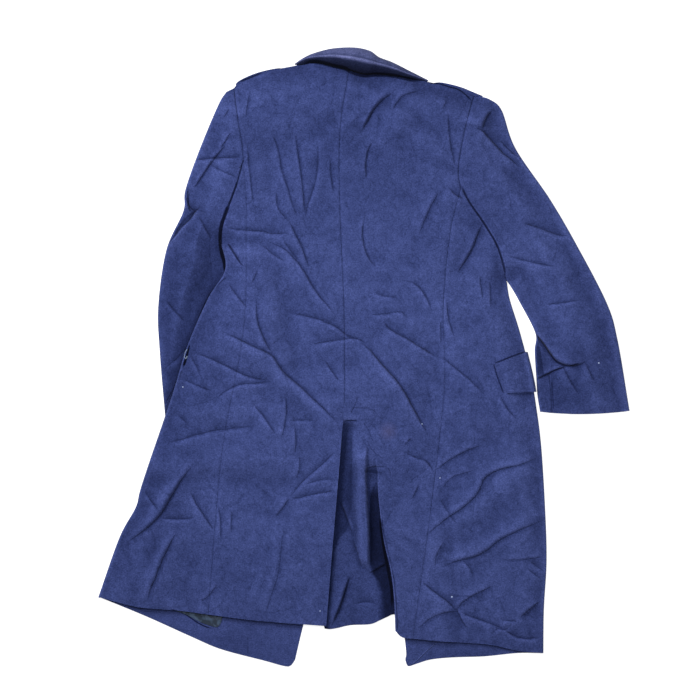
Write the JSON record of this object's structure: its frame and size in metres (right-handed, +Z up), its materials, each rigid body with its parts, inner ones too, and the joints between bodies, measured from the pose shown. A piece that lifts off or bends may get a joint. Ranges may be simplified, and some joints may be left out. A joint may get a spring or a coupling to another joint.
{
  "type": "overcoat",
  "caption": "Knee-length double-front wool overcoat with a back vent, laid flat on its front with the back up.",
  "frame": {"origin": "on the floor below the middle of the coat's outline, the middle of its bounding box in plan", "axes": "+X to the right as seen from above, which is the wearer's right side, +Y from the hem towards the collar, +Z up from the floor to the back that faces the eye"},
  "size_m": [0.9734, 1.1301, 0.0415],
  "materials": {
    "navy_wool": "matt milled wool with a short nap",
    "navy_collar_wool": "matt smooth wool",
    "dark_lining": "satin lining cloth"
  },
  "bodies": {
    "root": {"back_left": "navy_wool", "back_right": "navy_wool", "front_left": "navy_wool", "front_right": "navy_wool", "top_sleeve_left": "navy_wool", "top_sleeve_right": "navy_wool", "under_sleeve_left": "navy_wool", "under_sleeve_right": "navy_wool", "collar": "navy_collar_wool", "shoulder_strap_left": "navy_wool", "shoulder_strap_right": "navy_wool", "pocket_flap_left": "navy_wool", "pocket_flap_right": "navy_wool", "vent_underlap": "navy_wool", "lining_left": "dark_lining"}
  },
  "joints": []
}
